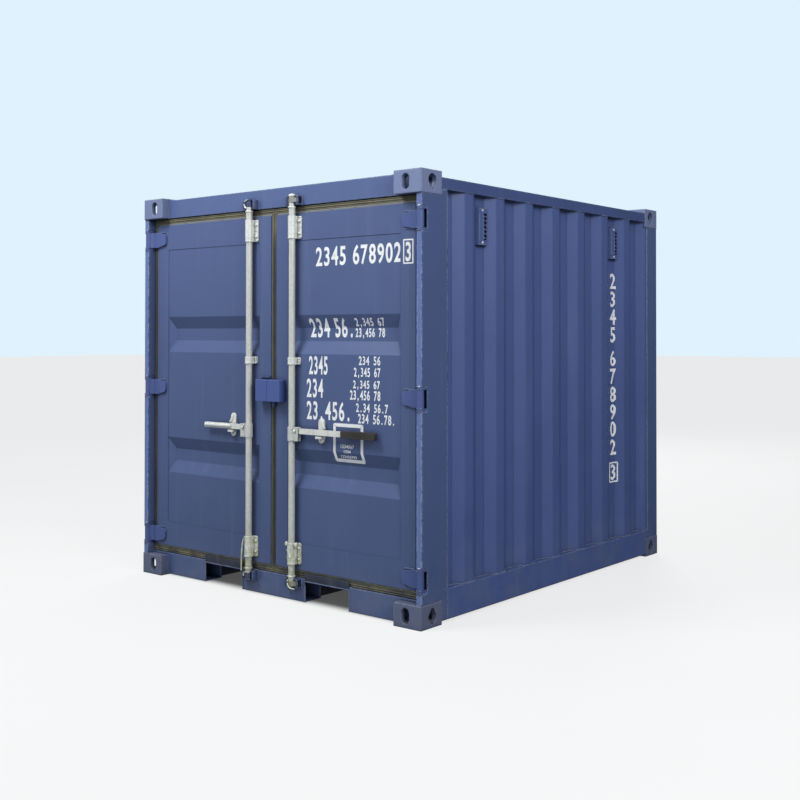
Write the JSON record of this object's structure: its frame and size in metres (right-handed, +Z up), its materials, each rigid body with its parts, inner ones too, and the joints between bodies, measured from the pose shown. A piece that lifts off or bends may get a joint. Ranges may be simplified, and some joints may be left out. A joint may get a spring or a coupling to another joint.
{
  "type": "shipping container",
  "caption": "Short steel shipping container with corrugated walls, cast corners, fork pockets and two hinged doors held by turning lock bars.",
  "frame": {"origin": "on the ground under the middle of the box over the corner castings", "axes": "+X to the right as seen from in front of the doors, +Y from the doors to the closed end, +Z up"},
  "size_m": [2.2, 2.438, 2.26],
  "materials": {
    "blue_paint": "satin paint over rolled and folded steel",
    "door_paint": "satin paint over pressed sheet",
    "casting_paint": "satin paint over rough cast steel",
    "lock_box_paint": "gloss paint",
    "underframe_paint": "dull paint",
    "galvanised_steel": "dull zinc coating",
    "gasket_rubber": "dull rubber",
    "grip_rubber": "dull rubber",
    "floor_plywood": "sealed plywood"
  },
  "bodies": {
    "container": {"castings_door_top": "casting_paint", "castings_door_bottom": "casting_paint", "castings_rear_top": "casting_paint", "castings_rear_bottom": "casting_paint", "door_posts": "blue_paint", "rear_posts": "blue_paint", "door_header": "blue_paint", "door_sill": "blue_paint", "rear_header": "blue_paint", "rear_sill": "blue_paint", "top_side_rails": "blue_paint", "bottom_side_rails": "blue_paint", "side_wall_left": "blue_paint", "side_wall_right": "blue_paint", "rear_wall": "blue_paint", "roof": "blue_paint", "floor": "floor_plywood", "cross_members": "underframe_paint", "fork_tunnels": "underframe_paint", "hinge_lugs": "blue_paint", "bar_keepers": "galvanised_steel", "side_vents": "blue_paint"},
    "left_door": {"door_frame_left": "door_paint", "door_panel_left": "door_paint", "door_gasket_left": "gasket_rubber", "hinge_blades_left": "blue_paint", "lock_brackets_left": "galvanised_steel", "lock_box_left": "lock_box_paint"},
    "left_lock_bar": {"lock_bar_left": "galvanised_steel", "bar_cams_left": "galvanised_steel"},
    "left_handle": {"handle_left": "galvanised_steel"},
    "right_door": {"door_frame_right": "door_paint", "door_panel_right": "door_paint", "door_gasket_right": "gasket_rubber", "hinge_blades_right": "blue_paint", "lock_brackets_right": "galvanised_steel", "lock_box_right": "lock_box_paint"},
    "right_lock_bar": {"lock_bar_right": "galvanised_steel", "bar_cams_right": "galvanised_steel"},
    "right_handle": {"handle_right": "galvanised_steel", "handle_grip_right": "grip_rubber"}
  },
  "joints": [
    {"name": "left_door_swing", "type": "hinge", "parent": "container", "child": "left_door", "pos_m": [-1.08, -1.199, 1.128], "axis": [0, 0, -1], "range_deg": [0, 260]},
    {"name": "left_bar_turn", "type": "hinge", "parent": "left_door", "child": "left_lock_bar", "pos_m": [-0.172, -1.196, 1.1], "axis": [0, 0, -1], "range_deg": [-95, 0]},
    {"name": "left_handle_lift", "type": "hinge", "parent": "left_lock_bar", "child": "left_handle", "pos_m": [-0.208, -1.196, 0.924], "axis": [0, -1, 0], "range_deg": [-25, 0]},
    {"name": "right_door_swing", "type": "hinge", "parent": "container", "child": "right_door", "pos_m": [1.08, -1.199, 1.128], "axis": [0, 0, 1], "range_deg": [0, 260]},
    {"name": "right_bar_turn", "type": "hinge", "parent": "right_door", "child": "right_lock_bar", "pos_m": [0.172, -1.196, 1.1], "axis": [0, 0, 1], "range_deg": [-95, 0]},
    {"name": "right_handle_lift", "type": "hinge", "parent": "right_lock_bar", "child": "right_handle", "pos_m": [0.208, -1.196, 0.924], "axis": [0, 1, 0], "range_deg": [-25, 0]}
  ]
}
